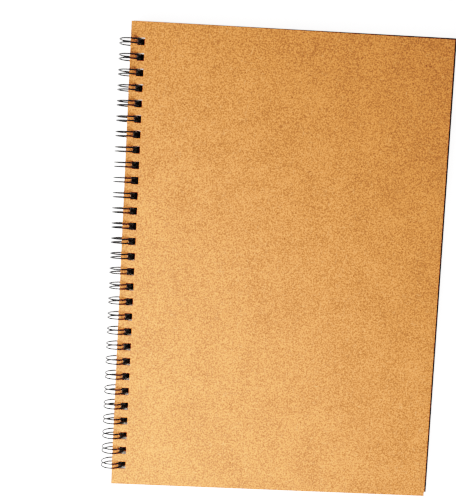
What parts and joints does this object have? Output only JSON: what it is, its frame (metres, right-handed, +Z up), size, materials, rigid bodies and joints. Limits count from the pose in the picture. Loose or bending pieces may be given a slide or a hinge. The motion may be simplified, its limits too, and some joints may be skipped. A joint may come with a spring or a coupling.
{
  "type": "sketchbook",
  "caption": "Closed sketchbook with plain kraft board covers, loose drawing sheets and a black twin-loop wire binding along one long side.",
  "frame": {"origin": "on the table, under the middle of the closed book's whole outline, wire loops included", "axes": "+X from the binding to the fore-edge, +Y along the binding to the head, +Z up from the table"},
  "size_m": [0.1856, 0.259, 0.0127],
  "materials": {
    "kraft_board": "matte",
    "drawing_paper": "matte",
    "black_wire": "satin"
  },
  "bodies": {
    "back_cover": {"back_cover": "kraft_board"},
    "binding_wire": {"binding_wire": "black_wire"},
    "sheet_01": {"sheet_01": "drawing_paper"},
    "sheet_02": {"sheet_02": "drawing_paper"},
    "sheet_03": {"sheet_03": "drawing_paper"},
    "sheet_04": {"sheet_04": "drawing_paper"},
    "sheet_05": {"sheet_05": "drawing_paper"},
    "sheet_06": {"sheet_06": "drawing_paper"},
    "sheet_07": {"sheet_07": "drawing_paper"},
    "sheet_08": {"sheet_08": "drawing_paper"},
    "sheet_09": {"sheet_09": "drawing_paper"},
    "sheet_10": {"sheet_10": "drawing_paper"},
    "sheet_11": {"sheet_11": "drawing_paper"},
    "sheet_12": {"sheet_12": "drawing_paper"},
    "sheet_13": {"sheet_13": "drawing_paper"},
    "sheet_14": {"sheet_14": "drawing_paper"},
    "sheet_15": {"sheet_15": "drawing_paper"},
    "sheet_16": {"sheet_16": "drawing_paper"},
    "sheet_17": {"sheet_17": "drawing_paper"},
    "sheet_18": {"sheet_18": "drawing_paper"},
    "sheet_19": {"sheet_19": "drawing_paper"},
    "sheet_20": {"sheet_20": "drawing_paper"},
    "sheet_21": {"sheet_21": "drawing_paper"},
    "sheet_22": {"sheet_22": "drawing_paper"},
    "sheet_23": {"sheet_23": "drawing_paper"},
    "sheet_24": {"sheet_24": "drawing_paper"},
    "sheet_25": {"sheet_25": "drawing_paper"},
    "sheet_26": {"sheet_26": "drawing_paper"},
    "sheet_27": {"sheet_27": "drawing_paper"},
    "sheet_28": {"sheet_28": "drawing_paper"},
    "sheet_29": {"sheet_29": "drawing_paper"},
    "sheet_30": {"sheet_30": "drawing_paper"},
    "front_cover": {"front_cover": "kraft_board"}
  },
  "joints": [
    {"name": "front_cover_turn", "type": "hinge", "parent": "sheet_01", "child": "front_cover", "pos_m": [-0.08649, 0, 0.00635], "axis": [0, -1, 0], "range_deg": [0, 180]},
    {"name": "sheet_01_turn", "type": "hinge", "parent": "sheet_02", "child": "sheet_01", "pos_m": [-0.08649, 0, 0.00635], "axis": [0, -1, 0], "range_deg": [0, 180]},
    {"name": "sheet_02_turn", "type": "hinge", "parent": "sheet_03", "child": "sheet_02", "pos_m": [-0.08649, 0, 0.00635], "axis": [0, -1, 0], "range_deg": [0, 180]},
    {"name": "sheet_03_turn", "type": "hinge", "parent": "sheet_04", "child": "sheet_03", "pos_m": [-0.08649, 0, 0.00635], "axis": [0, -1, 0], "range_deg": [0, 180]},
    {"name": "sheet_04_turn", "type": "hinge", "parent": "sheet_05", "child": "sheet_04", "pos_m": [-0.08649, 0, 0.00635], "axis": [0, -1, 0], "range_deg": [0, 180]},
    {"name": "sheet_05_turn", "type": "hinge", "parent": "sheet_06", "child": "sheet_05", "pos_m": [-0.08649, 0, 0.00635], "axis": [0, -1, 0], "range_deg": [0, 180]},
    {"name": "sheet_06_turn", "type": "hinge", "parent": "sheet_07", "child": "sheet_06", "pos_m": [-0.08649, 0, 0.00635], "axis": [0, -1, 0], "range_deg": [0, 180]},
    {"name": "sheet_07_turn", "type": "hinge", "parent": "sheet_08", "child": "sheet_07", "pos_m": [-0.08649, 0, 0.00635], "axis": [0, -1, 0], "range_deg": [0, 180]},
    {"name": "sheet_08_turn", "type": "hinge", "parent": "sheet_09", "child": "sheet_08", "pos_m": [-0.08649, 0, 0.00635], "axis": [0, -1, 0], "range_deg": [0, 180]},
    {"name": "sheet_09_turn", "type": "hinge", "parent": "sheet_10", "child": "sheet_09", "pos_m": [-0.08649, 0, 0.00635], "axis": [0, -1, 0], "range_deg": [0, 180]},
    {"name": "sheet_10_turn", "type": "hinge", "parent": "sheet_11", "child": "sheet_10", "pos_m": [-0.08649, 0, 0.00635], "axis": [0, -1, 0], "range_deg": [0, 180]},
    {"name": "sheet_11_turn", "type": "hinge", "parent": "sheet_12", "child": "sheet_11", "pos_m": [-0.08649, 0, 0.00635], "axis": [0, -1, 0], "range_deg": [0, 180]},
    {"name": "sheet_12_turn", "type": "hinge", "parent": "sheet_13", "child": "sheet_12", "pos_m": [-0.08649, 0, 0.00635], "axis": [0, -1, 0], "range_deg": [0, 180]},
    {"name": "sheet_13_turn", "type": "hinge", "parent": "sheet_14", "child": "sheet_13", "pos_m": [-0.08649, 0, 0.00635], "axis": [0, -1, 0], "range_deg": [0, 180]},
    {"name": "sheet_14_turn", "type": "hinge", "parent": "sheet_15", "child": "sheet_14", "pos_m": [-0.08649, 0, 0.00635], "axis": [0, -1, 0], "range_deg": [0, 180]},
    {"name": "sheet_15_turn", "type": "hinge", "parent": "sheet_16", "child": "sheet_15", "pos_m": [-0.08649, 0, 0.00635], "axis": [0, -1, 0], "range_deg": [0, 180]},
    {"name": "sheet_16_turn", "type": "hinge", "parent": "sheet_17", "child": "sheet_16", "pos_m": [-0.08649, 0, 0.00635], "axis": [0, -1, 0], "range_deg": [0, 180]},
    {"name": "sheet_17_turn", "type": "hinge", "parent": "sheet_18", "child": "sheet_17", "pos_m": [-0.08649, 0, 0.00635], "axis": [0, -1, 0], "range_deg": [0, 180]},
    {"name": "sheet_18_turn", "type": "hinge", "parent": "sheet_19", "child": "sheet_18", "pos_m": [-0.08649, 0, 0.00635], "axis": [0, -1, 0], "range_deg": [0, 180]},
    {"name": "sheet_19_turn", "type": "hinge", "parent": "sheet_20", "child": "sheet_19", "pos_m": [-0.08649, 0, 0.00635], "axis": [0, -1, 0], "range_deg": [0, 180]},
    {"name": "sheet_20_turn", "type": "hinge", "parent": "sheet_21", "child": "sheet_20", "pos_m": [-0.08649, 0, 0.00635], "axis": [0, -1, 0], "range_deg": [0, 180]},
    {"name": "sheet_21_turn", "type": "hinge", "parent": "sheet_22", "child": "sheet_21", "pos_m": [-0.08649, 0, 0.00635], "axis": [0, -1, 0], "range_deg": [0, 180]},
    {"name": "sheet_22_turn", "type": "hinge", "parent": "sheet_23", "child": "sheet_22", "pos_m": [-0.08649, 0, 0.00635], "axis": [0, -1, 0], "range_deg": [0, 180]},
    {"name": "sheet_23_turn", "type": "hinge", "parent": "sheet_24", "child": "sheet_23", "pos_m": [-0.08649, 0, 0.00635], "axis": [0, -1, 0], "range_deg": [0, 180]},
    {"name": "sheet_24_turn", "type": "hinge", "parent": "sheet_25", "child": "sheet_24", "pos_m": [-0.08649, 0, 0.00635], "axis": [0, -1, 0], "range_deg": [0, 180]},
    {"name": "sheet_25_turn", "type": "hinge", "parent": "sheet_26", "child": "sheet_25", "pos_m": [-0.08649, 0, 0.00635], "axis": [0, -1, 0], "range_deg": [0, 180]},
    {"name": "sheet_26_turn", "type": "hinge", "parent": "sheet_27", "child": "sheet_26", "pos_m": [-0.08649, 0, 0.00635], "axis": [0, -1, 0], "range_deg": [0, 180]},
    {"name": "sheet_27_turn", "type": "hinge", "parent": "sheet_28", "child": "sheet_27", "pos_m": [-0.08649, 0, 0.00635], "axis": [0, -1, 0], "range_deg": [0, 180]},
    {"name": "sheet_28_turn", "type": "hinge", "parent": "sheet_29", "child": "sheet_28", "pos_m": [-0.08649, 0, 0.00635], "axis": [0, -1, 0], "range_deg": [0, 180]},
    {"name": "sheet_29_turn", "type": "hinge", "parent": "sheet_30", "child": "sheet_29", "pos_m": [-0.08649, 0, 0.00635], "axis": [0, -1, 0], "range_deg": [0, 180]},
    {"name": "sheet_30_turn", "type": "hinge", "parent": "binding_wire", "child": "sheet_30", "pos_m": [-0.08649, 0, 0.00635], "axis": [0, -1, 0], "range_deg": [0, 180]},
    {"name": "binding_wire_turn", "type": "hinge", "parent": "back_cover", "child": "binding_wire", "pos_m": [-0.08649, 0, 0.00635], "axis": [0, -1, 0], "range_deg": [0, 180]}
  ]
}
